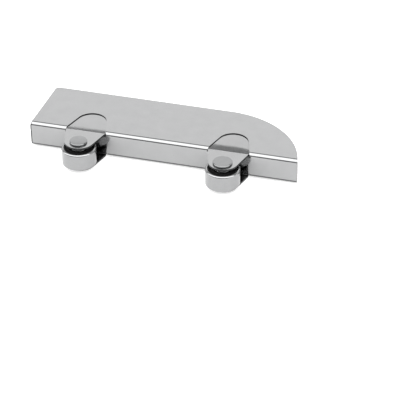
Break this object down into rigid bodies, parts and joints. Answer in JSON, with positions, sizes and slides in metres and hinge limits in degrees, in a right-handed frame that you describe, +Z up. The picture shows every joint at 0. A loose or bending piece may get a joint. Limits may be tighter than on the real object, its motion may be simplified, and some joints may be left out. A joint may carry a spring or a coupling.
{
  "type": "sliding door roller",
  "caption": "Sliding door roller: a pressed steel channel casing, rounded at one end, whose bent ears hold sealed ball-bearing wheels on riveted axles.",
  "frame": {"origin": "on the outer face of the bottom flange, half way along the casing's length and depth", "axes": "+X along the casing towards its rounded end, -Y from the web towards the wheels, +Z up along the wheel axles"},
  "size_m": [0.1214, 0.0492, 0.0132],
  "materials": {
    "zinc_steel": "bright zinc-plated pressed sheet, faint grain",
    "rivet_steel": "zinc-plated rivet, satin head",
    "bearing_steel": "ground and polished bearing steel",
    "seal_rubber": "black moulded rubber, matt",
    "cage_plastic": "natural moulded nylon"
  },
  "bodies": {
    "casing_body": {"casing": "zinc_steel", "axle_rivet_left": "rivet_steel", "inner_race_left": "bearing_steel", "upper_spacer_left": "zinc_steel", "lower_spacer_left": "zinc_steel", "axle_rivet_right": "rivet_steel", "inner_race_right": "bearing_steel", "upper_spacer_right": "zinc_steel", "lower_spacer_right": "zinc_steel"},
    "wheel_left": {"tread_ring_left": "bearing_steel", "upper_seal_left": "seal_rubber", "lower_seal_left": "seal_rubber"},
    "ball_set_left": {"ball_cage_left": "cage_plastic", "ball_1_left": "bearing_steel", "ball_2_left": "bearing_steel", "ball_3_left": "bearing_steel", "ball_4_left": "bearing_steel", "ball_5_left": "bearing_steel", "ball_6_left": "bearing_steel", "ball_7_left": "bearing_steel"},
    "wheel_right": {"tread_ring_right": "bearing_steel", "upper_seal_right": "seal_rubber", "lower_seal_right": "seal_rubber"},
    "ball_set_right": {"ball_cage_right": "cage_plastic", "ball_1_right": "bearing_steel", "ball_2_right": "bearing_steel", "ball_3_right": "bearing_steel", "ball_4_right": "bearing_steel", "ball_5_right": "bearing_steel", "ball_6_right": "bearing_steel", "ball_7_right": "bearing_steel"}
  },
  "joints": [
    {"name": "wheel_spin_left", "type": "hinge", "parent": "casing_body", "child": "wheel_left", "pos_m": [-0.0347, -0.0255, 0.0054], "axis": [0, 0, 1], "continuous": true},
    {"name": "ball_set_spin_left", "type": "hinge", "parent": "casing_body", "child": "ball_set_left", "pos_m": [-0.0347, -0.0255, 0.0054], "axis": [0, 0, 1], "continuous": true},
    {"name": "wheel_spin_right", "type": "hinge", "parent": "casing_body", "child": "wheel_right", "pos_m": [0.0302, -0.0255, 0.0054], "axis": [0, 0, 1], "continuous": true},
    {"name": "ball_set_spin_right", "type": "hinge", "parent": "casing_body", "child": "ball_set_right", "pos_m": [0.0302, -0.0255, 0.0054], "axis": [0, 0, 1], "continuous": true}
  ],
  "couplings": [
    {"joint": "ball_set_spin_left", "follows": "wheel_spin_left", "ratio": 0.6263},
    {"joint": "ball_set_spin_right", "follows": "wheel_spin_right", "ratio": 0.6263}
  ]
}
